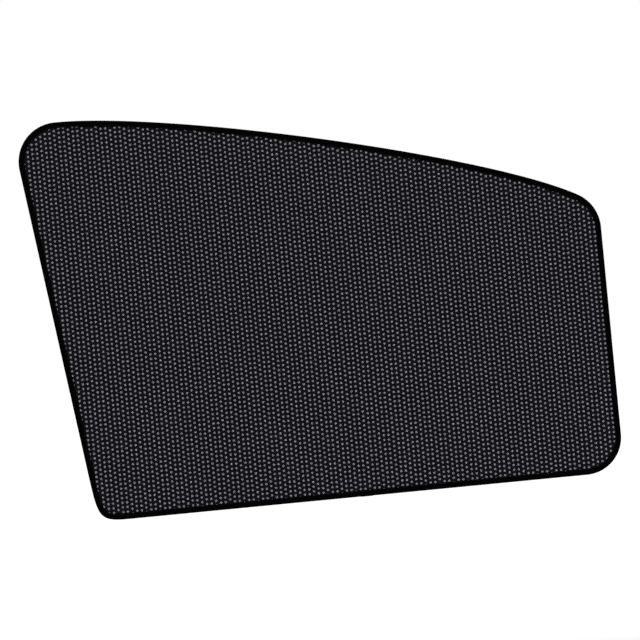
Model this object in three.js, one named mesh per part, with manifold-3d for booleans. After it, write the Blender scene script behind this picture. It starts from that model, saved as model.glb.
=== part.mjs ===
// Car side window sunshade: a dark knitted mesh panel, held flat in a sprung wire frame by one
// folded binding tape, with bar magnets behind the mesh edge that hold it to a steel door frame.
// Millimetres, +Z up. The front face looks along -Y, and the window side along +Y.
// The outline is drawn from the sharp lower back corner: x runs forwards along the bottom edge,
// y runs up the panel, and z stands out of the front face.
import * as THREE from 'three';
import { mergeVertices } from 'three/addons/utils/BufferGeometryUtils.js';
import Module from 'manifold-3d';

const wasm = await Module();
wasm.setup();

// Outline of the window
const baseLength = 632.2; // bottom edge, from the sharp back corner to the upright front edge
const backLean = THREE.MathUtils.degToRad(7.23); // the back edge leans backwards as it rises
const backCornerRadius = 47.25;
const backCornerHeight = 433.9; // centre of the upper back corner's arc
const backCornerSlope = THREE.MathUtils.degToRad(0.5); // the top edge still rises as it leaves it
const frontCornerRadius = 47.1;
const frontCornerHeight = 294.1; // centre of the upper front corner's arc
const frontCornerSlope = THREE.MathUtils.degToRad(29.4); // fall of the top edge where it ends
const topPullBack = 132.6; // how far the top curve keeps its direction at the back
const topPullFront = 119; // and at the front
const heelRadius = 44.85; // lower front corner
const toeRise = 61.3; // the lower back corner starts this far up the back edge
const toeRun = 44.4; // and ends this far along the bottom edge

// Wire frame, butted in a crimped sleeve at the middle of the bottom edge
const wireRadius = 0.8;
const wireEndGap = 0.6;
const wireJointShare = 0.5; // place of the joint along the bottom edge
const sleeveLength = 16;
const sleeveWall = 0.25;
const sleeveFit = 0.1; // between the wire and the bore of the sleeve

// Binding tape, folded round the wire and down both faces of the mesh
const tapeWidth = 7; // seen width of the finished edge
const tapeThickness = 0.5;
const tapeFit = 0.25; // between the tape and what it wraps
const tunnelFit = 0.15; // between the tape and the sleeve
const hemDrop = 0.45; // run over which the tape comes down from the magnets to the hem
const frontDrop = 1.5; // and from the wire to the mesh on the front

// Bar magnets, lying behind the mesh edge between the wire and the hem
const magnetLength = 20;
const magnetWidth = 2;
const magnetThickness = 1.2;

// Mesh: a knit whose holes stand in columns, two columns level and the third half a pitch higher.
// One modelled gap stands for a block of the real holes, at as many times their size and pitch,
// so the share of open area stays that of the real mesh.
const meshThickness = 0.7;
const holePitch = 5.6;
const holeSize = 1.15;
const holesPerGap = 8; // real holes for each modelled gap, along a row and along a column
const ridgesPerGap = 4; // ridges from one gap column or row to the next
const firstColumn = 20.2; // first gap column, from the sharp back corner
const firstRow = 29; // first gap row, above the bottom edge
const ridgeBase = 1.9;
const ridgeCrown = 0.7;
const ridgeRise = 0.3;
const ridgeSink = 0.1; // how far a ridge is rooted in the wall
const ridgeStop = 0.4; // bare mesh between the binding and the end of a ridge

// Fineness of the facets
const cornerSteps = 10;
const topSteps = 28;
const wireSides = 10;
const sleeveSides = 12;
const tunnelSteps = 8;
const gapSides = 12;

// Depths through the binding, worked out from the pieces it wraps
const sleeveRadius = wireRadius + sleeveFit + sleeveWall;
const tunnelRadius = sleeveRadius + tunnelFit;
const wireInset = tapeThickness + tunnelRadius; // wire's middle, in from the outline
const meshInset = wireInset + sleeveRadius + tapeFit; // hidden edge of the mesh
const magnetNear = meshThickness / 2 + tapeFit; // magnet face next to the mesh
const magnetFar = magnetNear + magnetThickness;
const magnetInset = wireInset + wireRadius + magnetWidth / 2; // magnet's middle, in from the outline
const laneDepth = magnetFar + tapeFit; // inside of the tape behind the magnets
const laneEnd = magnetInset + magnetWidth / 2 + tapeFit;
const hemDepth = meshThickness / 2 + tapeFit; // inside of the tape on the mesh

const finish = {
  mesh: new THREE.MeshStandardMaterial({ color: 0x111015, roughness: 0.9, metalness: 0 }),
  tape: new THREE.MeshStandardMaterial({ color: 0x050506, roughness: 0.85, metalness: 0 }),
  wire: new THREE.MeshStandardMaterial({ color: 0x8f9296, roughness: 0.35, metalness: 1 }),
  sleeve: new THREE.MeshStandardMaterial({ color: 0xb8babd, roughness: 0.45, metalness: 1 }),
  magnet: new THREE.MeshStandardMaterial({ color: 0xc9c9c6, roughness: 0.25, metalness: 1 }),
};

// The outline runs forwards from the wire's joint, up the front edge, back along the top,
// down the back edge and forwards to the joint again.
function drawOutline() {
  const up = new THREE.Vector2(-Math.sin(backLean), Math.cos(backLean));
  const backCorner = new THREE.Vector2(
    (backCornerRadius - backCornerHeight * Math.sin(backLean)) / Math.cos(backLean),
    backCornerHeight,
  );
  const frontCorner = new THREE.Vector2(baseLength - frontCornerRadius, frontCornerHeight);
  const frontTurn = Math.PI / 2 - frontCornerSlope;
  const backTurn = Math.PI / 2 + backCornerSlope;
  const topFront = new THREE.Vector2(Math.cos(frontTurn), Math.sin(frontTurn))
    .multiplyScalar(frontCornerRadius).add(frontCorner);
  const topBack = new THREE.Vector2(Math.cos(backTurn), Math.sin(backTurn))
    .multiplyScalar(backCornerRadius).add(backCorner);

  const joint = baseLength * wireJointShare;
  const path = new THREE.Path();
  path.moveTo(joint, 0);
  path.lineTo(baseLength - heelRadius, 0);
  path.absarc(baseLength - heelRadius, heelRadius, heelRadius, -Math.PI / 2, 0);
  path.lineTo(baseLength, frontCornerHeight);
  path.absarc(frontCorner.x, frontCorner.y, frontCornerRadius, 0, frontTurn);
  path.bezierCurveTo(
    topFront.x - topPullFront * Math.cos(frontCornerSlope),
    topFront.y + topPullFront * Math.sin(frontCornerSlope),
    topBack.x + topPullBack * Math.cos(backCornerSlope),
    topBack.y + topPullBack * Math.sin(backCornerSlope),
    topBack.x,
    topBack.y,
  );
  path.absarc(backCorner.x, backCorner.y, backCornerRadius, backTurn, Math.PI + backLean);
  path.lineTo(up.x * toeRise, up.y * toeRise);
  path.bezierCurveTo(0, 0, 0, 0, toeRun, 0);
  path.lineTo(joint, 0);
  return path;
}

const outline = drawOutline();
const [bottomFront, , front, , top, , back, , bottomBack] = outline.curves;

// Stations are points of the outline, each with the direction that leads into the panel.
function stationAt(curve, share) {
  const along = curve.getTangent(share);
  return { point: curve.getPoint(share), inward: new THREE.Vector2(-along.y, along.x) };
}

function stationsOf(path) {
  const stations = [];
  for (const curve of path.curves) {
    const bend = curve.isLineCurve ? 1 : cornerSteps;
    const steps = curve === top ? topSteps : bend;
    for (let i = 0; i < steps; i += 1) {
      stations.push(stationAt(curve, i / steps));
    }
  }
  return stations;
}

const stations = stationsOf(outline);

function inset(station, distance) {
  return station.point.clone().addScaledVector(station.inward, distance);
}

function insetShape(distance) {
  return new THREE.Shape(stations.map((station) => inset(station, distance)));
}

// A section, drawn anticlockwise as depth into the panel and height over its middle plane, is
// carried from station to station. Without a closed loop its two ends are capped.
function loft(path, section, closed) {
  const count = section.length;
  const places = path.flatMap((station) => section.flatMap((corner) => {
    const spot = inset(station, corner.x);
    return [spot.x, spot.y, corner.y];
  }));
  const faces = [];
  const spans = closed ? path.length : path.length - 1;
  for (let i = 0; i < spans; i += 1) {
    const here = i * count;
    const next = ((i + 1) % path.length) * count;
    for (let j = 0; j < count; j += 1) {
      const k = (j + 1) % count;
      faces.push(here + j, here + k, next + k, here + j, next + k, next + j);
    }
  }
  if (!closed) {
    const last = (path.length - 1) * count;
    for (const [a, b, c] of THREE.ShapeUtils.triangulateShape(section, [])) {
      faces.push(a, c, b, last + a, last + b, last + c);
    }
  }
  const geometry = new THREE.BufferGeometry();
  geometry.setAttribute('position', new THREE.Float32BufferAttribute(places, 3));
  geometry.setIndex(faces);
  return geometry;
}

function plate(shape, low, high) {
  const geometry = new THREE.ExtrudeGeometry(shape, { depth: high - low, bevelEnabled: false });
  return geometry.translate(0, 0, low);
}

function toSolid(geometry) {
  const bare = geometry.clone();
  bare.deleteAttribute('normal');
  bare.deleteAttribute('uv');
  const merged = mergeVertices(bare, 1e-4);
  return new wasm.Manifold(new wasm.Mesh({
    numProp: 3,
    vertProperties: new Float32Array(merged.attributes.position.array),
    triVerts: new Uint32Array(merged.index.array),
  }));
}

function toGeometry(solid) {
  const { vertProperties, triVerts } = solid.getMesh();
  const geometry = new THREE.BufferGeometry();
  geometry.setAttribute('position', new THREE.BufferAttribute(vertProperties, 3));
  geometry.setIndex(new THREE.BufferAttribute(triVerts, 1));
  return geometry;
}

const joined = (geometries) => geometries.map(toSolid).reduce((all, solid) => all.add(solid));

// Gap columns and rows, with every third column half a pitch higher than its neighbours. A gap
// is left out where the binding would reach into the block of holes that it stands for.
const gapPitch = holePitch * holesPerGap;
const gapRadius = (holeSize * holesPerGap) / 2;
const panelBox = new THREE.Box2().setFromPoints(stations.map((station) => station.point));

function isInside(spot, margin) {
  let within = false;
  const edge = stations.map((station) => inset(station, margin));
  edge.forEach((a, i) => {
    const b = edge[(i + 1) % edge.length];
    if ((a.y > spot.y) !== (b.y > spot.y)) {
      const crossing = a.x + ((b.x - a.x) * (spot.y - a.y)) / (b.y - a.y);
      within = spot.x < crossing ? !within : within;
    }
  });
  return within;
}

function gapSpots() {
  const spots = [];
  const firstX = firstColumn - gapPitch * Math.ceil((firstColumn - panelBox.min.x) / gapPitch);
  for (let x = firstX; x < panelBox.max.x; x += gapPitch) {
    const column = Math.round((x - firstColumn) / gapPitch);
    const raised = THREE.MathUtils.euclideanModulo(column, 3) === 1 ? gapPitch / 2 : 0;
    for (let y = firstRow + raised - gapPitch; y < panelBox.max.y; y += gapPitch) {
      const spot = new THREE.Vector2(x, y);
      if (isInside(spot, tapeWidth + gapPitch / 2)) {
        spots.push(spot);
      }
    }
  }
  return spots;
}

// Ridges run up the front as the wales of the knit and across the window side as its courses,
// halfway between the lines that gaps stand on.
function ridge(reach) {
  const half = ridgeBase / 2;
  const profile = new THREE.Shape([
    new THREE.Vector2(-half, -ridgeSink),
    new THREE.Vector2(half, -ridgeSink),
    new THREE.Vector2(half, 0),
    new THREE.Vector2(ridgeCrown / 2, ridgeRise),
    new THREE.Vector2(-ridgeCrown / 2, ridgeRise),
    new THREE.Vector2(-half, 0),
  ]);
  return new THREE.ExtrudeGeometry(profile, { depth: reach, bevelEnabled: false });
}

function ridgeLines(first, low, high) {
  const pitch = gapPitch / ridgesPerGap;
  const start = first + pitch / 2 - pitch * Math.ceil((first - low) / pitch);
  const lines = [];
  for (let at = start; at < high; at += pitch) {
    lines.push(at);
  }
  return lines;
}

function buildMesh() {
  const { min, max } = panelBox;
  const half = meshThickness / 2;
  const wales = ridgeLines(firstColumn, min.x, max.x).map((x) => (
    ridge(max.y - min.y).rotateX(Math.PI / 2).translate(x, max.y, half)
  ));
  const courses = ridgeLines(firstRow, min.y, max.y).map((y) => (
    ridge(max.x - min.x).rotateZ(Math.PI).rotateY(Math.PI / 2).rotateX(Math.PI / 2)
      .translate(min.x, y, -half)
  ));
  const tall = half + ridgeRise * 2;
  const field = toSolid(plate(insetShape(tapeWidth + ridgeStop), -tall, tall));
  const gaps = gapSpots().map((spot) => (
    new THREE.CylinderGeometry(gapRadius, gapRadius, tall * 2, gapSides)
      .rotateX(Math.PI / 2).translate(spot.x, spot.y, 0)
  ));
  return toSolid(plate(insetShape(meshInset), -half, half))
    .add(joined([...wales, ...courses]).intersect(field))
    .subtract(joined(gaps));
}

// The tape keeps one thickness along its fold line, which is drawn through its middle.
function foldLine() {
  const middle = tapeThickness / 2;
  const turn = tunnelRadius + middle;
  const line = [
    new THREE.Vector2(tapeWidth, -hemDepth - middle),
    new THREE.Vector2(laneEnd + middle + hemDrop, -hemDepth - middle),
    new THREE.Vector2(laneEnd + middle, -laneDepth - middle),
    new THREE.Vector2(wireInset + wireRadius / 2, -laneDepth - middle),
  ];
  for (let i = 0; i <= tunnelSteps; i += 1) {
    const angle = -Math.PI / 2 - (Math.PI * (i + 0.5)) / (tunnelSteps + 0.5);
    line.push(new THREE.Vector2(
      wireInset + turn * Math.cos(angle),
      turn * Math.sin(angle),
    ));
  }
  line.push(
    new THREE.Vector2(wireInset + wireRadius + frontDrop, hemDepth + middle),
    new THREE.Vector2(tapeWidth, hemDepth + middle),
  );
  return line;
}

function tapeSection() {
  const line = foldLine();
  const side = (sign) => line.map((point, i) => {
    const before = line[Math.max(i - 1, 0)];
    const after = line[Math.min(i + 1, line.length - 1)];
    const arriving = point === before ? after.clone().sub(point) : point.clone().sub(before);
    const leaving = point === after ? arriving.clone() : after.clone().sub(point);
    const into = new THREE.Vector2(-arriving.y, arriving.x).normalize();
    const out = new THREE.Vector2(-leaving.y, leaving.x).normalize();
    const mitre = into.clone().add(out).normalize();
    return point.clone().addScaledVector(mitre, (sign * tapeThickness) / (2 * mitre.dot(into)));
  });
  return [...side(1).reverse(), ...side(-1)];
}

function wireSection() {
  return Array.from({ length: wireSides }, (_, i) => {
    const angle = (2 * Math.PI * (i + 0.5)) / wireSides;
    return new THREE.Vector2(
      wireInset + wireRadius * Math.cos(angle),
      wireRadius * Math.sin(angle),
    );
  });
}

function wirePath() {
  const pull = new THREE.Vector2(wireEndGap / 2, 0);
  const start = { ...stations[0], point: stations[0].point.clone().add(pull) };
  const end = { ...stations[0], point: stations[0].point.clone().sub(pull) };
  return [start, ...stations.slice(1), end];
}

const panel = new THREE.Group();

function place(name, geometry, material) {
  const piece = new THREE.Mesh(geometry, material);
  piece.name = name;
  panel.add(piece);
  return piece;
}

place('mesh_panel', toGeometry(buildMesh()), finish.mesh);
place('edge_binding', loft(stations, tapeSection(), true), finish.tape);
place('frame_wire', loft(wirePath(), wireSection(), false), finish.wire);

const bore = wireRadius + sleeveFit;
const sleeveProfile = [
  new THREE.Vector2(bore, -sleeveLength / 2),
  new THREE.Vector2(sleeveRadius, -sleeveLength / 2),
  new THREE.Vector2(sleeveRadius, sleeveLength / 2),
  new THREE.Vector2(bore, sleeveLength / 2),
  new THREE.Vector2(bore, -sleeveLength / 2),
];
const sleeve = place('wire_sleeve', new THREE.LatheGeometry(sleeveProfile, sleeveSides), finish.sleeve);
sleeve.rotation.z = Math.PI / 2;
sleeve.position.set(stations[0].point.x, stations[0].point.y + wireInset, 0);

const magnetPlaces = {
  magnet_top_front: [top, 0.14],
  magnet_top_middle: [top, 0.5],
  magnet_top_back: [top, 0.86],
  magnet_back_upper: [back, 0.15],
  magnet_back_lower: [back, 0.85],
  magnet_front: [front, 0.5],
  magnet_bottom_front: [bottomFront, 0.75],
  magnet_bottom_back: [bottomBack, 0.25],
};
for (const [name, [curve, share]] of Object.entries(magnetPlaces)) {
  const bar = new THREE.BoxGeometry(magnetLength, magnetWidth, magnetThickness);
  const magnet = place(name, bar, finish.magnet);
  const station = stationAt(curve, share);
  const spot = inset(station, magnetInset);
  magnet.position.set(spot.x, spot.y, -(magnetNear + magnetFar) / 2);
  magnet.rotation.z = Math.atan2(-station.inward.x, station.inward.y);
}

// The panel stands upright with its front towards -Y, centred on its outline.
const centre = panelBox.getCenter(new THREE.Vector2());
panel.rotation.x = Math.PI / 2;
panel.position.set(-centre.x, 0, -centre.y);
const sunshade = new THREE.Group();
sunshade.add(panel);

export default sunshade;
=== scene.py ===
"""Looks of a car side window sunshade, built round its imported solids.

Everything is in metres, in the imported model's frame: +X forwards along the bottom edge, +Y out
through the window and +Z up. Flat shapes are drawn in outline coordinates, along and up from the
sharp lower back corner, and a height is how far a point stands out of the mesh's middle plane
towards the cabin, which is -Y. Finishes and UV layers are in millimetres.
"""

import logging
import math
from dataclasses import dataclass
from enum import Enum
from typing import Any, Sequence

import bpy
import numpy as np
from mathutils import Matrix, Vector
from mathutils.geometry import delaunay_2d_cdt


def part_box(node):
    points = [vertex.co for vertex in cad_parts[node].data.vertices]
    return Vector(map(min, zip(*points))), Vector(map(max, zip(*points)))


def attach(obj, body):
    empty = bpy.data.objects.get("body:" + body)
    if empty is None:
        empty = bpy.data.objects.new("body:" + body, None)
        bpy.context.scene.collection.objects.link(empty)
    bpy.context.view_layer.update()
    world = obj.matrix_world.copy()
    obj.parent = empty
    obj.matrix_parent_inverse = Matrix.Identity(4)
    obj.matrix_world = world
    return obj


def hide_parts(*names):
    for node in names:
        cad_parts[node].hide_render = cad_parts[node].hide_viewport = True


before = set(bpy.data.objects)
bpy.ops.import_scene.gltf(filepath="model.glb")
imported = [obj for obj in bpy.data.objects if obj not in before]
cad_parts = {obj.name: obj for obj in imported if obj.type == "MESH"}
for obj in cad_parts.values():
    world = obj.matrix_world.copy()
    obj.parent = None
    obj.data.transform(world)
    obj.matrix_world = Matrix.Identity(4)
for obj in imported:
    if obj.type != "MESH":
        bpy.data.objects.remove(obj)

LOG = logging.getLogger("sunshade")
MM = 0.001
MM_PER_METRE = 1000.0
BODY = "root"
RUN_LAYER = "run"
KEEP_INSIDE = 1  # the triangulation's mode that drops what lies outside the outline
CUT_TOLERANCE = 1e-5
Colour = tuple[float, float, float, float]
Spot = tuple[float, float]


class Slot(Enum):
    """The record's material slots."""

    MESH = "mesh_fabric"
    TAPE = "binding_tape"
    WIRE = "spring_steel"
    SLEEVE = "crimp_metal"
    MAGNET = "plated_magnet"


class Side(Enum):
    """The two faces of the shade, each with the sign of its heights."""

    CABIN = 1
    WINDOW = -1


class Signal:
    """A node's output that takes part in Python arithmetic, which adds Math nodes."""

    def __init__(self, graph: "Graph", socket: bpy.types.NodeSocket) -> None:
        """Wraps one output socket of a graph."""
        self.graph = graph
        self.socket = socket

    def __add__(self, other: "Signal | float") -> "Signal":
        """Sum of two signals."""
        return self.graph.maths("ADD", self, other)

    def __sub__(self, other: "Signal | float") -> "Signal":
        """Difference of two signals."""
        return self.graph.maths("SUBTRACT", self, other)

    def __rsub__(self, other: "Signal | float") -> "Signal":
        """Difference with the signal second."""
        return self.graph.maths("SUBTRACT", other, self)

    def __mul__(self, other: "Signal | float") -> "Signal":
        """Product of two signals."""
        return self.graph.maths("MULTIPLY", self, other)

    __radd__ = __add__
    __rmul__ = __mul__

    def sine(self, pitch: float, phase: "Signal | float" = 0.0) -> "Signal":
        """Wave from 0 to 1 that repeats every pitch, shifted by a phase in radians."""
        return self.graph.maths("SINE", self * (math.tau / pitch) + phase) * 0.5 + 0.5

    def fold(self, pitch: float) -> "Signal":
        """Distance from 0 up to pitch and back, again and again."""
        return self.graph.maths("PINGPONG", self, pitch)

    def capped(self) -> "Signal":
        """The signal held between 0 and 1."""
        return self.graph.node("ShaderNodeClamp", {}, {"Value": self}).out()


@dataclass
class Node:
    """One node of a graph, with its outputs as signals."""

    graph: "Graph"
    made: bpy.types.Node

    def out(self, name: str | int = 0) -> Signal:
        """The output of that name or number."""
        return Signal(self.graph, self.made.outputs[name])


class Graph:
    """The node tree of one material or of the world."""

    def __init__(self, owner: bpy.types.ID) -> None:
        """Takes over the owner's node tree, emptied.

        Args:
            owner: A material or a world.
        """
        owner.use_nodes = True
        self.tree = owner.node_tree
        self.tree.nodes.clear()

    def node(self, kind: str, settings: dict[str, Any], inputs: dict[Any, Any]) -> Node:
        """Adds one node.

        Args:
            kind: The node's type.
            settings: Properties set before its sockets. A ramp's stops are under "stops".
            inputs: Values or signals for its sockets, by name or number.

        Returns:
            The node.
        """
        made = self.tree.nodes.new(kind)
        for key, value in settings.items():
            if key == "stops":
                self._set_stops(made.color_ramp, value)
            else:
                setattr(made, key, value)
        for key, value in inputs.items():
            if isinstance(value, Signal):
                self.tree.links.new(value.socket, made.inputs[key])
            else:
                made.inputs[key].default_value = value
        return Node(self, made)

    @staticmethod
    def _set_stops(ramp: bpy.types.ColorRamp, stops: Sequence[tuple[float, Colour]]) -> None:
        """Gives a colour ramp its stops.

        Args:
            ramp: The ramp, which has two stops to begin with.
            stops: The place and the colour of each stop.
        """
        while len(ramp.elements) < len(stops):
            ramp.elements.new(1.0)
        for element, (position, colour) in zip(ramp.elements, stops, strict=True):
            element.position = position
            element.color = colour

    def maths(self, operation: str, *values: Signal | float) -> Signal:
        """The result of one Math node, from its inputs in order."""
        inputs = dict(enumerate(values))
        return self.node("ShaderNodeMath", {"operation": operation}, inputs).out()

    def place(self) -> tuple[Signal, Signal, Signal]:
        """Finds the point being shaded.

        Returns:
            Its x, y and z in millimetres of the model's frame.
        """
        spot = self.node("ShaderNodeTexCoord", {}, {}).out("Object")
        inputs = {0: spot, "Scale": MM_PER_METRE}
        scaled = self.node("ShaderNodeVectorMath", {"operation": "SCALE"}, inputs)
        axes = self.node("ShaderNodeSeparateXYZ", {}, {0: scaled.out()})
        return axes.out("X"), axes.out("Y"), axes.out("Z")

    def strip(self, layer: str) -> tuple[Signal, Signal]:
        """Finds the place on a strip.

        Args:
            layer: The UV layer that holds it.

        Returns:
            The millimetres along the strip and across it.
        """
        spot = self.node("ShaderNodeUVMap", {"uv_map": layer}, {}).out()
        axes = self.node("ShaderNodeSeparateXYZ", {}, {0: spot})
        return axes.out("X"), axes.out("Y")

    def noise(self, per_mm: float, detail: float = 2.0) -> Signal:
        """Adds even noise.

        Args:
            per_mm: Blotches to the millimetre.
            detail: Octaves of finer noise within them.

        Returns:
            The noise, from 0 to 1.
        """
        spot = self.node("ShaderNodeTexCoord", {}, {}).out("Object")
        inputs = {"Vector": spot, "Scale": per_mm * MM_PER_METRE, "Detail": detail}
        return self.node("ShaderNodeTexNoise", {}, inputs).out("Fac")

    def blend(self, share: Signal, low: Colour, high: Colour) -> Signal:
        """A colour between two, by a signal from 0 to 1."""
        stops = [(0.0, low), (1.0, high)]
        return self.node("ShaderNodeValToRGB", {"stops": stops}, {0: share}).out()

    def bump(self, height: Signal, depth_mm: float, strength: float) -> Signal:
        """The surface's normal, tilted by a height from 0 to 1 that stands for a real depth."""
        inputs = {"Height": height, "Distance": depth_mm * MM, "Strength": strength}
        return self.node("ShaderNodeBump", {}, inputs).out()

    def principled(self, inputs: dict[str, Any]) -> None:
        """Ends the graph in one Principled shader with these inputs."""
        shader = self.node("ShaderNodeBsdfPrincipled", {}, inputs)
        self.node("ShaderNodeOutputMaterial", {}, {"Surface": shader.out()})


def grey(value: float) -> Colour:
    """A neutral colour of that level."""
    return (value, value, value, 1.0)


@dataclass(frozen=True)
class Pattern:
    """What varies over a surface, each part from about 0 to 1."""

    tone: Signal
    grain: Signal
    relief: Signal


@dataclass(frozen=True)
class Finish:
    """A material whose tone, roughness and relief follow a pattern of its own."""

    name: str
    # shade and lit are the two ends of each finish's colour ramp. In the knit, tape and thread the ramp
    # follows their relief, so it paints shade into the hollows and highlight onto the tops; fuzz,
    # patches, streaks and scratches give random tone.
    shade: Colour
    lit: Colour
    roughness: float
    roughness_spread: float
    relief_depth: float
    relief_strength: float
    specular: float = 0.5
    sheen: float = 0.0
    metallic: float = 0.0

    def pattern(self, graph: Graph) -> Pattern:
        """The pattern of the finish, which each kind of finish draws for itself."""
        raise NotImplementedError

    def build(self) -> bpy.types.Material:
        """Makes the material.

        Returns:
            The material, with one Principled shader.
        """
        material = bpy.data.materials.new(self.name)
        graph = Graph(material)
        pattern = self.pattern(graph)
        rough = pattern.grain * self.roughness_spread + self.roughness
        graph.principled({
            "Base Color": graph.blend(pattern.tone.capped(), self.shade, self.lit),
            "Roughness": rough.capped(),
            "Metallic": self.metallic,
            "Specular IOR Level": self.specular,
            "Sheen Weight": self.sheen,
            "Normal": graph.bump(pattern.relief, self.relief_depth, self.relief_strength),
        })
        return material


@dataclass(frozen=True)
class KnitFinish(Finish):
    """Near-black knitted yarn, with V-shaped stitches that run up the panel."""

    shade: Colour = (0.0004, 0.0003, 0.0009, 1.0)
    lit: Colour = (0.0085, 0.0077, 0.0126, 1.0)
    roughness: float = 0.75
    roughness_spread: float = 0.2
    relief_depth: float = 0.08
    relief_strength: float = 0.7
    specular: float = 0.055
    sheen: float = 0.02
    wale: float = 0.7
    course: float = 0.56
    lean: float = 2.4
    valley: float = 0.4
    fuzz_per_mm: float = 6.0
    patch_per_mm: float = 0.02
    # share of the stitch relief painted into the colour as shade and highlight
    yarn_painted_shade: float = 0.75
    fuzz_tone: float = 0.25
    patch_tone: float = 0.2
    tone_cut: float = 0.15
    fuzz_relief: float = 0.3

    def pattern(self, graph: Graph) -> Pattern:
        """Draws the stitches.

        Args:
            graph: The material's graph.

        Returns:
            The stitches, painted lighter on their tops and darker between them, with fuzz and a slow
            drift of tone over the panel.
        """
        x, _, z = graph.place()
        leg = x.sine(self.wale / 2)
        stitch = z.sine(self.course, x.fold(self.wale / 2) * self.lean)
        yarn = leg * (stitch * (1 - self.valley) + self.valley)
        fuzz = graph.noise(self.fuzz_per_mm)
        patch = graph.noise(self.patch_per_mm)
        # The stitch relief is painted into the colour too: the stitches' tops lighter as painted
        # highlight and the valleys between them darker as painted shade; fuzz and patch add the yarn's
        # own random tone.
        tone = yarn * self.yarn_painted_shade + fuzz * self.fuzz_tone + patch * self.patch_tone
        return Pattern(tone - self.tone_cut, fuzz, yarn + fuzz * self.fuzz_relief)


@dataclass(frozen=True)
class FilamentFinish(Finish):
    """Fine nylon filament, smoke grey and slightly glossy."""

    shade: Colour = (0.105, 0.102, 0.118, 1.0)
    lit: Colour = (0.14, 0.136, 0.155, 1.0)
    roughness: float = 0.4
    roughness_spread: float = 0.2
    relief_depth: float = 0.01
    relief_strength: float = 0.4
    specular: float = 0.15
    streak_per_mm: float = 3.0
    patch_per_mm: float = 0.03
    streak_tone: float = 0.7
    patch_tone: float = 0.3

    def pattern(self, graph: Graph) -> Pattern:
        """Draws the filaments' streaks.

        Args:
            graph: The material's graph.

        Returns:
            The streaks, with a slow drift of tone over the panel.
        """
        streak = graph.noise(self.streak_per_mm)
        patch = graph.noise(self.patch_per_mm)
        tone = streak * self.streak_tone + patch * self.patch_tone
        return Pattern(tone, streak, streak)


@dataclass(frozen=True)
class TapeFinish(Finish):
    """Matt black woven tape: ribs across it, with fine warp yarns along it."""

    shade: Colour = (0.0001, 0.0001, 0.0001, 1.0)
    lit: Colour = (0.0014, 0.0014, 0.0017, 1.0)
    roughness: float = 0.6
    roughness_spread: float = 0.25
    relief_depth: float = 0.07
    relief_strength: float = 0.8
    specular: float = 0.01
    rib: float = 0.62
    warp: float = 0.34
    rib_share: float = 0.65
    fuzz_per_mm: float = 5.0
    patch_per_mm: float = 0.05
    # share of the weave relief painted into the colour as shade and highlight
    weave_painted_shade: float = 0.7
    fuzz_tone: float = 0.3
    patch_tone: float = 0.3
    tone_cut: float = 0.3
    fuzz_relief: float = 0.25

    def pattern(self, graph: Graph) -> Pattern:
        """Draws the weave, which follows the tape by its own UV layer.

        Args:
            graph: The material's graph.

        Returns:
            The weave, painted lighter on its ribs and darker between them, with fuzz and a slow drift of
            tone.
        """
        along, across = graph.strip(RUN_LAYER)
        rib = along.sine(self.rib)
        warp = across.sine(self.warp, along.fold(self.rib) * (math.pi / self.rib))
        weave = rib * self.rib_share + warp * (1 - self.rib_share)
        fuzz = graph.noise(self.fuzz_per_mm)
        patch = graph.noise(self.patch_per_mm)
        # The weave's relief is painted into the colour too: the ribs' tops lighter as painted highlight
        # and the gaps darker as painted shade; fuzz and patch are the tape's own random tone.
        tone = weave * self.weave_painted_shade + fuzz * self.fuzz_tone + patch * self.patch_tone
        return Pattern(tone - self.tone_cut, fuzz, weave + fuzz * self.fuzz_relief)


@dataclass(frozen=True)
class ThreadFinish(Finish):
    """Black spun sewing thread, twisted along its stitches."""

    shade: Colour = (0.0008, 0.0008, 0.0009, 1.0)
    lit: Colour = (0.006, 0.006, 0.007, 1.0)
    roughness: float = 0.5
    roughness_spread: float = 0.2
    relief_depth: float = 0.04
    relief_strength: float = 0.8
    specular: float = 0.03
    twist: float = 0.32
    fuzz_per_mm: float = 9.0
    # share of the ply relief painted into the colour as shade and highlight
    ply_painted_shade: float = 0.6
    fuzz_tone: float = 0.4

    def pattern(self, graph: Graph) -> Pattern:
        """Draws the plies.

        Args:
            graph: The material's graph.

        Returns:
            The plies wound round the thread, painted lighter on their crowns and darker between them,
            with fuzz.
        """
        along, around = graph.strip(RUN_LAYER)
        ply = along.sine(self.twist, around * math.tau)
        fuzz = graph.noise(self.fuzz_per_mm)
        # The plies' relief is painted into the colour too: lighter on each ply as painted highlight and
        # darker in the twist between plies as painted shade; fuzz is the thread's own random tone.
        return Pattern(ply * self.ply_painted_shade + fuzz * self.fuzz_tone, fuzz, ply)


@dataclass(frozen=True)
class MetalFinish(Finish):
    """Bare metal with fine scratches and a slight change of tone."""

    roughness_spread: float = 0.25
    relief_depth: float = 0.01
    relief_strength: float = 0.3
    metallic: float = 1.0
    scratch_per_mm: float = 3.0
    scratch_detail: float = 4.0
    patch_per_mm: float = 0.2

    def pattern(self, graph: Graph) -> Pattern:
        """The scratches, with blotches of tone."""
        scratch = graph.noise(self.scratch_per_mm, self.scratch_detail)
        return Pattern(graph.noise(self.patch_per_mm), scratch, scratch)


@dataclass
class Trail:
    """Points spaced evenly round the outline, each with the way into the panel."""

    points: np.ndarray
    inward: np.ndarray
    along: np.ndarray

    def inset(self, distance: float) -> np.ndarray:
        """The points moved that far into the panel."""
        return self.points + self.inward * distance

    def at(self, along: np.ndarray) -> "Trail":
        """The trail's points at other distances along it.

        Args:
            along: Distances from the trail's start, which may run past its end.

        Returns:
            A trail with one point for each distance.
        """
        step = self.along[1] - self.along[0]
        place = np.mod(along / step, len(self.along))
        first = np.floor(place).astype(int) % len(self.along)
        second = (first + 1) % len(self.along)
        share = (place - np.floor(place))[:, None]
        points = self.points[first] * (1 - share) + self.points[second] * share
        inward = self.inward[first] * (1 - share) + self.inward[second] * share
        inward /= np.linalg.norm(inward, axis=1)[:, None]
        return Trail(points, inward, along)


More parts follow.
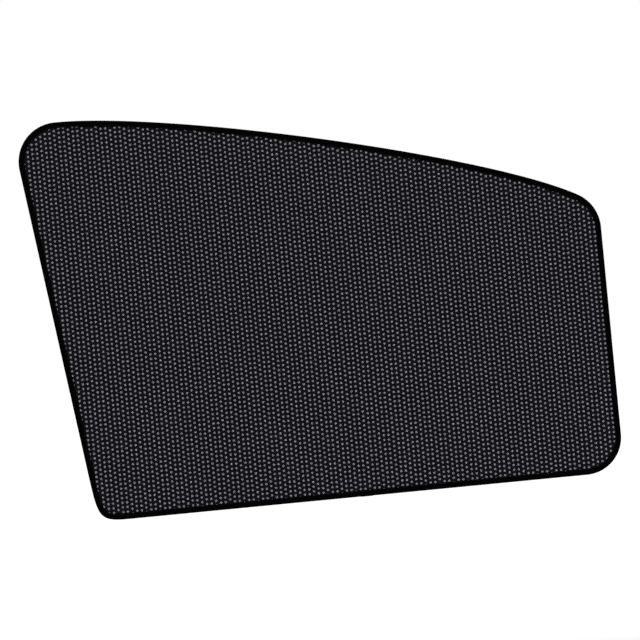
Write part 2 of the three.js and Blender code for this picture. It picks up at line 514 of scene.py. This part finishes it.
@dataclass(frozen=True)
class WindowOutline:
    """The outline of the window, in outline coordinates."""

    base: float = 632.2 * MM
    back_lean: float = math.radians(7.23)
    back_radius: float = 47.25 * MM
    back_height: float = 433.9 * MM
    back_slope: float = math.radians(0.5)
    front_radius: float = 47.1 * MM
    front_height: float = 294.1 * MM
    front_slope: float = math.radians(29.4)
    pull_back: float = 132.6 * MM
    pull_front: float = 119.0 * MM
    heel_radius: float = 44.85 * MM
    toe_rise: float = 61.3 * MM
    toe_run: float = 44.4 * MM
    samples: int = 600

    def _line(self, start: Sequence[float], end: Sequence[float]) -> np.ndarray:
        """Points of a straight run."""
        share = np.linspace(0, 1, self.samples)[:, None]
        return np.array(start) * (1 - share) + np.array(end) * share

    def _arc(self, centre: Spot, radius: float, start: float, end: float) -> np.ndarray:
        """Points of a round corner, between two angles."""
        angle = np.linspace(start, end, self.samples)
        return np.array(centre) + radius * np.column_stack((np.cos(angle), np.sin(angle)))

    def _curve(self, *corners: Sequence[float]) -> np.ndarray:
        """Points of a cubic curve.

        Args:
            corners: Its four control points.

        Returns:
            The points.
        """
        t = np.linspace(0, 1, self.samples)[:, None]
        a, b, c, d = (np.array(corner) for corner in corners)
        return (1 - t) ** 3 * a + 3 * (1 - t) ** 2 * t * b + 3 * (1 - t) * t**2 * c + t**3 * d

    def _runs(self) -> list[np.ndarray]:
        """Draws the outline.

        Returns:
            Its runs in order, forwards from the middle of the bottom edge.
        """
        lean, fall, rise = self.back_lean, self.front_slope, self.back_slope
        joint = (self.base / 2, 0.0)
        heel = (self.base - self.heel_radius, self.heel_radius)
        front = (self.base - self.front_radius, self.front_height)
        shift = self.back_radius - self.back_height * math.sin(lean)
        back = (shift / math.cos(lean), self.back_height)
        corner = self._arc(front, self.front_radius, 0.0, math.pi / 2 - fall)
        rear = self._arc(back, self.back_radius, math.pi / 2 + rise, math.pi + lean)
        leave, arrive = corner[-1], rear[0]
        top = self._curve(
            leave,
            leave + self.pull_front * np.array((-math.cos(fall), math.sin(fall))),
            arrive + self.pull_back * np.array((math.cos(rise), math.sin(rise))),
            arrive,
        )
        toe = (-self.toe_rise * math.sin(lean), self.toe_rise * math.cos(lean))
        return [
            self._line(joint, (heel[0], 0.0)),
            self._arc(heel, self.heel_radius, -math.pi / 2, 0.0),
            self._line((self.base, heel[1]), (self.base, self.front_height)),
            corner,
            top,
            rear,
            self._line(rear[-1], toe),
            self._curve(toe, (0.0, 0.0), (0.0, 0.0), (self.toe_run, 0.0)),
            self._line((self.toe_run, 0.0), joint),
        ]

    def trail(self, step: float) -> Trail:
        """Walks once round the outline.

        Args:
            step: The distance between points, which is adjusted to fit the outline.

        Returns:
            The points, without repeating the first at the end.
        """
        dense = np.vstack([run[:-1] for run in self._runs()])
        closed = np.vstack((dense, dense[:1]))
        lengths = np.linalg.norm(np.diff(closed, axis=0), axis=1)
        total = np.concatenate(([0.0], np.cumsum(lengths)))
        count = round(total[-1] / step)
        along = np.arange(count) * (total[-1] / count)
        points = np.column_stack([np.interp(along, total, closed[:, i]) for i in (0, 1)])
        ahead = np.roll(points, -1, axis=0) - np.roll(points, 1, axis=0)
        ahead /= np.linalg.norm(ahead, axis=1)[:, None]
        return Trail(points, np.column_stack((-ahead[:, 1], ahead[:, 0])), along)


@dataclass(frozen=True)
class Bench:
    """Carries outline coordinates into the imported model's frame."""

    corner_x: float
    corner_z: float

    @classmethod
    def from_frame(cls, outline: WindowOutline) -> "Bench":
        """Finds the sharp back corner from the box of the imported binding."""
        low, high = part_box("edge_binding")
        return cls(high.x - outline.base, low.z)

    def points(self, flat: np.ndarray, height: np.ndarray | float) -> np.ndarray:
        """Places outline points, at a height over the mesh, in the model's frame."""
        tall = np.broadcast_to(height, flat.shape[:-1])
        return np.stack((flat[..., 0] + self.corner_x, -tall, flat[..., 1] + self.corner_z), -1)


def make_object(
    name: str,
    points: np.ndarray,
    faces: list[tuple[int, ...]],
    smooth: bool = True,
) -> bpy.types.Object:
    """Makes a mesh object.

    Args:
        name: The piece's name.
        points: Its vertices, in metres.
        faces: Its faces, as vertex numbers.
        smooth: Whether it is shaded smooth.

    Returns:
        The object, linked to the scene.
    """
    mesh = bpy.data.meshes.new(name)
    mesh.from_pydata(points.reshape(-1, 3), [], faces)
    mesh.polygons.foreach_set("use_smooth", [smooth] * len(mesh.polygons))
    mesh.update()
    made = bpy.data.objects.new(name, mesh)
    bpy.context.scene.collection.objects.link(made)
    return made


def set_strip(piece: bpy.types.Object, strip: np.ndarray) -> None:
    """Writes the UV layer that says how far along and across a strip each vertex lies.

    Args:
        piece: The strip.
        strip: Millimetres along and across it, one pair for each vertex.
    """
    mesh = piece.data
    corners = np.zeros(len(mesh.loops), np.int32)
    mesh.loops.foreach_get("vertex_index", corners)
    uv = mesh.uv_layers.new(name=RUN_LAYER)
    uv.data.foreach_set("uv", strip.reshape(-1, 2)[corners].astype(np.float32).ravel())


def dress(piece: bpy.types.Object, material: bpy.types.Material, slot: Slot, *nodes: str) -> None:
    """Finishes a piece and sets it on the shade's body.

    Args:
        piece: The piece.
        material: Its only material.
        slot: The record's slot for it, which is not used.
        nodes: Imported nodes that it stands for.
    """
    piece.data.materials.clear()
    piece.data.materials.append(material)
    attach(piece, BODY)
    if nodes:
        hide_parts(*nodes)


def rings(count: int, around: int, closed: bool) -> list[tuple[int, ...]]:
    """Faces that join rings of vertices.

    Args:
        count: How many rings there are.
        around: Vertices in each ring.
        closed: Whether the last ring joins the first.

    Returns:
        The faces.
    """
    faces = []
    for i in range(count if closed else count - 1):
        here, there = i * around, ((i + 1) % count) * around
        for j in range(around):
            k = (j + 1) % around
            faces.append((here + j, here + k, there + k, there + j))
    return faces


def moved(faces: list[tuple[int, ...]], shift: int, flip: bool) -> list[tuple[int, ...]]:
    """Faces renumbered for vertices that come later, and turned over if asked."""
    shifted = [tuple(shift + i for i in face) for face in faces]
    return [face[::-1] for face in shifted] if flip else shifted


@dataclass
class MeshPanel:
    """The knitted mesh: two faces with one lattice of holes, and filaments between them."""

    outline: WindowOutline
    bench: Bench
    edge_inset: float = 3.3 * MM
    edge_step: float = 4.0 * MM
    seen_inset: float = 6.5 * MM
    pitch: float = 5.6 * MM
    first_column: float = 2.26 * MM
    level_row: float = 3.36 * MM
    raised_row: float = 0.56 * MM
    columns_in_repeat: int = 3
    raised_column: int = 1
    hole_radius: float = 1.35 * MM
    rim_radius: float = 1.65 * MM
    rim_clearance: float = 0.1 * MM
    hole_sides: int = 10
    face_height: float = 0.28 * MM
    wale_height: float = 0.4 * MM
    rim_height: float = 0.1 * MM
    net_pitch: float = 0.56 * MM
    net_width: float = 0.42 * MM
    net_thickness: float = 0.09 * MM
    net_spread: float = 0.08
    seed: int = 7
    yarn: KnitFinish = KnitFinish("mesh_yarn")
    filament: FilamentFinish = FilamentFinish("mesh_filament")

    def _edge(self, inset: float) -> np.ndarray:
        """The outline, moved that far into the panel."""
        return self.outline.trail(self.edge_step).inset(inset)

    def _inside(self, spots: np.ndarray, inset: float) -> np.ndarray:
        """Which points lie further into the panel than an inset.

        Args:
            spots: The points, in outline coordinates.
            inset: The distance from the outline.

        Returns:
            True or false for each point.
        """
        a = self._edge(inset)
        b = np.roll(a, -1, axis=0)
        x, z = spots[:, :1], spots[:, 1:]
        crosses = (a[:, 1] > z) != (b[:, 1] > z)
        rise = np.where(crosses, b[:, 1] - a[:, 1], 1.0)
        reach = a[:, 0] + (b[:, 0] - a[:, 0]) * (z - a[:, 1]) / rise
        return (crosses & (x < reach)).sum(axis=1) % 2 == 1

    def _holes(self) -> np.ndarray:
        """Sets out the holes, in columns of which every third stands half a pitch off.

        Returns:
            Their middles, in outline coordinates.
        """
        edge = self._edge(0.0)
        low, high = edge.min(axis=0), edge.max(axis=0)
        first = math.floor((low[0] - self.first_column) / self.pitch)
        last = math.ceil((high[0] - self.first_column) / self.pitch)
        rows = np.arange(-1, math.ceil(high[1] / self.pitch) + 1) * self.pitch
        spots = []
        for column in range(first, last + 1):
            raised = column % self.columns_in_repeat == self.raised_column
            start = self.raised_row if raised else self.level_row
            x = np.full(len(rows), self.first_column + column * self.pitch)
            spots.append(np.column_stack((x, rows + start)))
        lattice = np.vstack(spots)
        whole = self.edge_inset + self.rim_radius + self.rim_clearance
        return lattice[self._inside(lattice, whole)]

    def _around(self, holes: np.ndarray, radius: float) -> np.ndarray:
        """Corners round every hole, at one radius."""
        turn = (np.arange(self.hole_sides) + 0.5) * (math.tau / self.hole_sides)
        return (holes[:, None] + radius * np.column_stack((np.cos(turn), np.sin(turn)))).reshape(-1, 2)

    def _hole_edges(self, count: int) -> list[tuple[int, int]]:
        """The edges round each of so many holes, as numbers of the corners round them."""
        sides = self.hole_sides
        return [(h * sides + i, h * sides + (i + 1) % sides) for h in range(count) for i in range(sides)]

    def _cloth(self, holes: np.ndarray) -> tuple[np.ndarray, np.ndarray, list[tuple[int, ...]]]:
        """Cuts the cloth of one face round its holes, with raised wales between their columns.

        Args:
            holes: Middles of the holes.

        Returns:
            Its vertices in outline coordinates, the height of each, and its faces, which show
            to the cabin.
        """
        outer = self._around(holes, self.rim_radius)
        wales = holes + np.array((self.pitch / 2, 0.0))
        wales = wales[self._inside(wales, self.seen_inset)]
        edge = self._edge(self.edge_inset)
        flat = np.vstack((outer, wales, edge))
        start = len(outer) + len(wales)
        links = self._hole_edges(len(holes))
        links += [(start + i, start + (i + 1) % len(edge)) for i in range(len(edge))]
        points = [Vector(point) for point in flat / MM]
        cut = delaunay_2d_cdt(points, links, [], KEEP_INSIDE, CUT_TOLERANCE)
        first = [group[0] for group in cut[3]]
        faces = []
        for face in cut[2]:
            corners = tuple(first[i] for i in face)
            # A face with all its corners round one hole lies in that hole, and is left out.
            owners = {c // self.hole_sides if c < len(outer) else -1 - c for c in corners}
            if len(owners) > 1:
                faces.append(corners)
        tall = np.full(len(flat), self.face_height)
        tall[len(outer) : start] = self.wale_height
        return flat, tall, faces

    def _rims(self, holes: np.ndarray) -> bpy.types.Object:
        """Makes the edge of every hole, where the cabin face turns down to the filaments.

        Args:
            holes: Middles of the holes.

        Returns:
            The rims, as one piece.
        """
        levels = ((self.rim_radius, self.face_height), (self.hole_radius, self.rim_height))
        flats = [self._around(holes, radius) for radius, _ in levels]
        shift = len(flats[0])
        tall = np.repeat([height for _, height in levels], shift)
        faces = [(a, b, shift + b, shift + a) for a, b in self._hole_edges(len(holes))]
        return make_object("hole_rims", self.bench.points(np.vstack(flats), tall), faces)

    def _chords(self, across: int, edge: np.ndarray) -> list[tuple[float, float, float]]:
        """Where the filaments of one direction start and end.

        Args:
            across: The axis that they are spaced along, 0 or 1.
            edge: The outline that they end on.

        Returns:
            For each filament its place across, its start and its end.
        """
        a, b = edge, np.roll(edge, -1, axis=0)
        low, high = edge[:, across].min(), edge[:, across].max()
        chords = []
        middle = (self.first_column, self.level_row)[across] + self.net_pitch / 2
        first = middle + math.ceil((low - middle) / self.net_pitch) * self.net_pitch
        for place in np.arange(first, high, self.net_pitch):
            crosses = (a[:, across] > place) != (b[:, across] > place)
            p, q = a[crosses], b[crosses]
            share = (place - p[:, across]) / (q[:, across] - p[:, across])
            ends = p[:, 1 - across] + (q[:, 1 - across] - p[:, 1 - across]) * share
            chords.append((place, ends.min(), ends.max()))
        return chords

    def _net(self) -> bpy.types.Object:
        """Makes the net between the faces, of flat filaments that cross.

        Returns:
            The net, with its upright filaments nearer the cabin.
        """
        edge = self._edge(self.edge_inset)
        random = np.random.default_rng(self.seed)
        bar = [(0, 1, 2), (5, 4, 3), (0, 3, 4, 1), (1, 4, 5, 2), (2, 5, 3, 0)]
        flats, talls, faces = [], [], []
        for across in (0, 1):
            near = self.net_thickness * (1 - across)
            for place, start, end in self._chords(across, edge):
                half = self.net_width / 2 * (1 + self.net_spread * random.uniform(-1, 1))
                faces += moved(bar, len(flats), flip=across == 1)
                for reach in (start, end):
                    for side, tall in ((-half, near), (half, near), (0.0, near - self.net_thickness)):
                        spot = (place + side, reach)
                        flats.append(spot if across == 0 else spot[::-1])
                        talls.append(tall)
        points = self.bench.points(np.array(flats), np.array(talls))
        return make_object("filament_net", points, faces, smooth=False)

    def build(self) -> list[bpy.types.Object]:
        """Makes and dresses the panel.

        Returns:
            The two faces, the rims of the holes and the net.
        """
        holes = self._holes()
        LOG.info("mesh holes: %d", len(holes))
        flat, tall, faces = self._cloth(holes)
        cabin = make_object("knitted_face", self.bench.points(flat, tall), faces)
        window = make_object("knitted_back", self.bench.points(flat, -tall), moved(faces, 0, flip=True))
        rims, net = self._rims(holes), self._net()
        knit = self.yarn.build()
        dress(cabin, knit, Slot.MESH, "mesh_panel")
        for piece in (window, rims):
            dress(piece, knit, Slot.MESH)
        dress(net, self.filament.build(), Slot.MESH)
        edge = self._edge(self.edge_inset)
        width, length = edge.max(axis=0) - edge.min(axis=0)
        return [cabin, window, rims, net]


@dataclass
class EdgeBinding:
    """The tape folded round the edge, with the lockstitch and the bar tacks that close it."""

    outline: WindowOutline
    bench: Bench
    width: float = 7.0 * MM
    thickness: float = 0.5 * MM
    selvedge_share: float = 0.3
    inner_stride: int = 3
    wire_inset: float = 1.8 * MM
    tunnel: float = 1.3 * MM
    tunnel_arc: tuple[float, float] = (-0.58 * math.pi, -1.5 * math.pi)
    tunnel_corners: int = 11
    hem_height: float = 0.85 * MM
    window_hem: float = 5.6 * MM
    window_hem_bend: Spot = (0.15 * MM, 0.12 * MM)
    lane_height: float = 2.3 * MM
    lane_end: float = 5.1 * MM
    lane_end_bend: Spot = (0.06 * MM, 0.15 * MM)
    lane_end_round: float = 0.14 * MM
    lane_start: float = 2.2 * MM
    lane_start_bend: Spot = (0.3 * MM, 0.12 * MM)
    cabin_slope: tuple[Spot, ...] = ((3.1 * MM, 0.33 * MM), (4.1 * MM, 0.06 * MM), (5.2 * MM, 0.0))
    step: float = 0.8 * MM
    lap_length: float = 13.0 * MM
    lap_rise: float = 0.32 * MM
    stitch_inset: float = 6.3 * MM
    stitch_steps: int = 4
    stitch_reach: float = 0.4 * MM
    pucker: float = 0.08 * MM
    thread: float = 0.36 * MM
    thread_sides: int = 6
    thread_rings: int = 7
    thread_rise: float = 0.1 * MM
    thread_dive: float = 0.55
    thread_end: float = 0.55
    thread_bow: int = 4
    tacks: int = 9
    tack_margin: float = 0.08
    tack_inset: Spot = (5.75 * MM, 6.85 * MM)
    tape: TapeFinish = TapeFinish("binding_weave")
    sewing: ThreadFinish = ThreadFinish("sewing_thread")

    def _fold_line(self) -> np.ndarray:
        """Draws the middle of the tape's thickness.

        Returns:
            Its corners as inset and height, from the window side's hem round to the cabin side's.
        """
        hem, lane = self.hem_height, self.lane_height
        turn = self.tunnel + self.thickness / 2
        angles = np.linspace(*self.tunnel_arc, self.tunnel_corners)
        around = np.column_stack((
            self.wire_inset + turn * np.cos(angles),
            turn * np.sin(angles),
        ))
        window = [
            (self.width, -hem),
            (self.window_hem + self.window_hem_bend[0], -hem),
            (self.window_hem, -hem - self.window_hem_bend[1]),
            (self.lane_end + self.lane_end_bend[0], -lane + self.lane_end_bend[1]),
            (self.lane_end - self.lane_end_round, -lane),
            (self.lane_start + self.lane_start_bend[0], -lane),
            (self.lane_start, -lane + self.lane_start_bend[1]),
        ]
        cabin = [(inset, hem + rise) for inset, rise in self.cabin_slope]
        cabin += [
            (self.stitch_inset - self.stitch_reach, hem),
            (self.stitch_inset, hem),
            (self.width, hem),
        ]
        return np.vstack((window, around, cabin))

    def _section(self) -> tuple[np.ndarray, np.ndarray, np.ndarray]:
        """Draws the tape's section.

        Returns:
            Its corners as inset and height, the way out of the tape at those that show, and the
            place of each across the tape in millimetres.
        """
        line = self._fold_line()
        ahead = np.gradient(line, axis=0)
        ahead /= np.linalg.norm(ahead, axis=1)[:, None]
        out = np.column_stack((-ahead[:, 1], ahead[:, 0])) * (self.thickness / 2)
        steps = np.linalg.norm(np.diff(line, axis=0), axis=1)
        across = np.concatenate(([0.0], np.cumsum(steps)))
        outside, inside = line + out, line - out
        few = np.r_[0 : len(line) - 1 : self.inner_stride, len(line) - 1]
        round_end = np.array((self.thickness * self.selvedge_share, 0.0))
        section = np.vstack((outside, line[-1] + round_end, inside[few][::-1], line[0] + round_end))
        places = np.concatenate((across, across[-1:], across[few][::-1], across[:1])) / MM
        outward = np.vstack((out, np.zeros((len(section) - len(out), 2)))) / (self.thickness / 2)
        return section, outward, places

    def _stations(self) -> Trail:
        """Sets out stations round the edge.

        Returns:
            A trail with a number of points that whole stitches fill.
        """
        rough = self.outline.trail(self.step)
        length = rough.along[-1] + rough.along[1]
        count = len(rough.along) - len(rough.along) % self.stitch_steps
        return self.outline.trail(length / count)

    def _lap(self, along: np.ndarray) -> np.ndarray:
        """How far the tape's end, lapped over its start, raises its face along the edge."""
        return np.where(along < self.lap_length, self.lap_rise, 0.0)

    def _fold(self, trail: Trail) -> bpy.types.Object:
        """Makes the folded tape, drawn in at each needle hole and doubled where it laps.

        Args:
            trail: The stations round the edge.

        Returns:
            The tape, with its UV layer.
        """
        section, outward, places = self._section()
        pull = np.arange(len(trail.along)) % self.stitch_steps == 0
        near = np.exp(-(((section[:, 0] - self.stitch_inset) / self.stitch_reach) ** 2))
        lap = self._lap(trail.along)[:, None]
        depth = section[:, 0] + outward[:, 0] * lap
        tall = section[:, 1] + outward[:, 1] * lap
        tall -= np.sign(section[:, 1]) * self.pucker * pull[:, None] * near
        flat = trail.points[:, None] + trail.inward[:, None] * depth[..., None]
        faces = moved(rings(len(trail.along), len(section), closed=True), 0, flip=True)
        tape = make_object("folded_tape", self.bench.points(flat, tall), faces)
        strip = np.empty((len(trail.along), len(section), 2))
        strip[..., 0] = trail.along[:, None] / MM
        strip[..., 1] = places
        set_strip(tape, strip)
        return tape

    def _stitch(self, start: np.ndarray, end: np.ndarray, side: Side, lift: float) -> np.ndarray:
        """Draws one stitch, which dives into the tape at both ends.

        Args:
            start: Its first needle hole, in outline coordinates.
            end: Its second needle hole.
            side: The face that it lies on.
            lift: How far the face is raised there.

        Returns:
            The vertices in the model's frame, ring by ring.
        """
        share = np.linspace(0.0, 1.0, self.thread_rings)
        bow = 1.0 - np.abs(2 * share - 1) ** self.thread_bow
        face = self.hem_height + self.thickness / 2 + lift
        dive = self.thread * self.thread_dive
        tall = face - dive + (dive + self.thread_rise) * bow
        radius = self.thread / 2 * (self.thread_end + (1 - self.thread_end) * bow)
        ahead = (end - start) / np.linalg.norm(end - start)
        aside = np.array((-ahead[1], ahead[0]))
        turn = np.arange(self.thread_sides) * (math.tau / self.thread_sides)
        line = start + (end - start) * share[:, None]
        flat = line[:, None] + aside * (radius[:, None] * np.cos(turn))[..., None]
        heights = tall[:, None] + radius[:, None] * np.sin(turn)
        return self.bench.points(flat, heights * side.value)

    def _runs(self, trail: Trail) -> list[tuple[np.ndarray, np.ndarray, float]]:
        """Sets out the lockstitches and the tacks over the lap.

        Args:
            trail: The stations round the edge.

        Returns:
            For each stitch its two needle holes, and how far the tape is raised there.
        """
        holes = trail.inset(self.stitch_inset)[:: self.stitch_steps]
        lifts = self._lap(trail.along)[:: self.stitch_steps]
        runs = list(zip(holes, np.roll(holes, -1, axis=0), lifts, strict=True))
        share = np.linspace(self.tack_margin, 1 - self.tack_margin, self.tacks)
        tacked = trail.at(share * self.lap_length)
        low, high = (tacked.inset(inset) for inset in self.tack_inset)
        return runs + [(a, b, self.lap_rise) for a, b in zip(low, high, strict=True)]

    def _sewing(self, trail: Trail) -> bpy.types.Object:
        """Makes the thread on both faces.

        Args:
            trail: The stations round the edge.

        Returns:
            The thread, with its UV layer.
        """
        sides, count = self.thread_sides, self.thread_rings
        caps = [tuple(range(sides))[::-1], tuple(range((count - 1) * sides, count * sides))]
        tube = rings(count, sides, closed=False) + caps
        around = np.arange(sides) / sides
        points, faces, strips = [], [], []
        for side in Side:
            for start, end, lift in self._runs(trail):
                faces += moved(tube, len(points) * count * sides, flip=side is Side.CABIN)
                points.append(self._stitch(start, end, side, lift))
                run = np.linspace(0.0, np.linalg.norm(end - start) / MM, count)
                strips.append(np.stack(np.meshgrid(run, around, indexing="ij"), -1))
        thread = make_object("binding_thread", np.array(points), faces)
        set_strip(thread, np.array(strips))
        return thread

    def build(self) -> list[bpy.types.Object]:
        """Makes and dresses the binding.

        Returns:
            The folded tape and its thread.
        """
        trail = self._stations()
        tape, thread = self._fold(trail), self._sewing(trail)
        dress(tape, self.tape.build(), Slot.TAPE, "edge_binding")
        dress(thread, self.sewing.build(), Slot.TAPE)
        line = self._fold_line()
        cut_length = trail.along[-1] + trail.along[1] + self.lap_length
        return [tape, thread]


@dataclass
class Hardware:
    """The wire frame, its sleeve and the magnets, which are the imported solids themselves."""

    wire: MetalFinish = MetalFinish("drawn_wire", grey(0.3), grey(0.36), 0.3, scratch_per_mm=3.0)
    sleeve: MetalFinish = MetalFinish(
        "crimped_sleeve", grey(0.55), grey(0.63), 0.35, scratch_per_mm=5.0
    )
    magnet: MetalFinish = MetalFinish(
        "nickel_plate", (0.56, 0.54, 0.5, 1.0), (0.62, 0.6, 0.56, 1.0), 0.15, scratch_per_mm=2.0
    )

    def build(self) -> list[bpy.types.Object]:
        """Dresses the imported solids.

        Returns:
            The solids, which all stay hidden inside the binding.
        """
        finishes = {"frame_wire": self.wire.build(), "wire_sleeve": self.sleeve.build()}
        nickel = self.magnet.build()
        dressed = []
        for name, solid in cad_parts.items():
            if name in finishes or name.startswith("magnet_"):
                solid.data.materials.clear()
                solid.data.materials.append(finishes.get(name, nickel))
                dressed.append(solid)
        return dressed


@dataclass(frozen=True)
class Lamp:
    """One wide, distant lamp, which faces the middle of the shade from its place."""

    name: str
    place: tuple[float, float, float]
    power: float
    spread: float = math.radians(35)

    def hang(self) -> None:
        """Hangs the lamp in the scene."""
        light = bpy.data.lights.new(self.name, "SUN")
        light.angle = self.spread
        light.energy = self.power
        lamp = bpy.data.objects.new(self.name, light)
        lamp.location = self.place
        lamp.rotation_mode = "QUATERNION"
        lamp.rotation_quaternion = (-Vector(self.place)).to_track_quat("-Z", "Y")
        bpy.context.scene.collection.objects.link(lamp)


@dataclass
class Studio:
    """A white floor and sky, soft lamps and a camera square to the panel."""

    outline: WindowOutline
    bench: Bench
    view_middle: Spot = (286.61 * MM, 215.19 * MM)
    view_width: float = 766.1 * MM
    view_reach: float = 100.0
    roll: float = math.radians(5.508)
    lens: float = 200.0
    sensor: float = 36.0
    lamps: tuple[Lamp, ...] = (
        Lamp("key", (-1.2, -2.0, 2.8), 1.3),
        Lamp("fill", (1.8, -1.8, 1.2), 0.6),
        Lamp("rear", (0.8, 2.0, 2.4), 1.2),
    )
    sky_level: float = 0.5
    floor_drop: float = 0.25
    floor_size: float = 60.0
    floor_tone: float = 0.8
    floor_lift: float = 0.14

    def _where_seen(self, graph: Graph, lighting: Signal, seen: Signal) -> Signal:
        """Chooses between two shaders by the ray that meets them.

        Args:
            graph: The graph that both are in.
            lighting: The shader for light on its way to the shade.
            seen: The shader for rays that the camera, a mirror or glass sends.

        Returns:
            The chosen shader.
        """
        path = graph.node("ShaderNodeLightPath", {}, {})
        share = path.out("Is Camera Ray") + path.out("Is Glossy Ray") + path.out("Is Transmission Ray")
        return graph.node("ShaderNodeMixShader", {}, {0: share.capped(), 1: lighting, 2: seen}).out()

    def _sky(self) -> None:
        """Makes the world: plain white where it is seen, and dimmer as a light."""
        world = bpy.data.worlds.new("sky")
        bpy.context.scene.world = world
        graph = Graph(world)
        dim, white = (
            graph.node("ShaderNodeBackground", {}, {"Color": grey(1.0), "Strength": level}).out()
            for level in (self.sky_level, 1.0)
        )
        shader = self._where_seen(graph, dim, white)
        graph.node("ShaderNodeOutputWorld", {}, {"Surface": shader})

    def _floor(self) -> None:
        """Makes the floor, which shows white and keeps the shade's shadow."""
        half = self.floor_size / 2
        drop = self.bench.corner_z - self.floor_drop
        corners = np.array([(x * half, y * half, drop) for x, y in ((-1, -1), (1, -1), (1, 1), (-1, 1))])
        floor = make_object("floor", corners, [(0, 1, 2, 3)], smooth=False)
        material = bpy.data.materials.new("floor_white")
        graph = Graph(material)
        lit = graph.node("ShaderNodeBsdfDiffuse", {}, {"Color": grey(self.floor_tone)}).out()
        light = {"Color": grey(1.0), "Strength": self.floor_lift}
        glow = graph.node("ShaderNodeEmission", {}, light).out()
        lifted = graph.node("ShaderNodeAddShader", {}, {0: lit, 1: glow}).out()
        shader = self._where_seen(graph, lit, lifted)
        graph.node("ShaderNodeOutputMaterial", {}, {"Surface": shader})
        floor.data.materials.append(material)

    def _camera(self) -> None:
        """Sets the camera square to the panel, rolled so that the bottom edge rises forwards."""
        data = bpy.data.cameras.new("camera")
        data.lens = self.lens
        data.sensor_width = self.sensor
        data.clip_end = self.view_reach
        camera = bpy.data.objects.new("camera", data)
        middle = self.bench.points(np.array(self.view_middle), 0.0)
        away = self.view_width * self.lens / self.sensor
        turn = Matrix.Rotation(math.pi / 2, 4, "X") @ Matrix.Rotation(-self.roll, 4, "Z")
        camera.matrix_world = Matrix.Translation((middle[0], -away, middle[2])) @ turn
        bpy.context.scene.collection.objects.link(camera)
        bpy.context.scene.camera = camera

    def build(self) -> None:
        """Makes the floor, the lights and the camera, and sets the view transform."""
        bpy.context.scene.view_settings.view_transform = "Standard"
        self._sky()
        self._floor()
        for lamp in self.lamps:
            lamp.hang()
        self._camera()


def main() -> None:
    """Builds the studio and the shade."""
    logging.basicConfig(level=logging.INFO, format="%(name)s: %(message)s")
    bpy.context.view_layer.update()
    outline = WindowOutline()
    bench = Bench.from_frame(outline)
    Studio(outline, bench).build()
    for assembly in (MeshPanel(outline, bench), EdgeBinding(outline, bench), Hardware()):
        for piece in assembly.build():
            LOG.info("%s: %d faces", piece.name, len(piece.data.polygons))


if __name__ == "__main__":
    main()
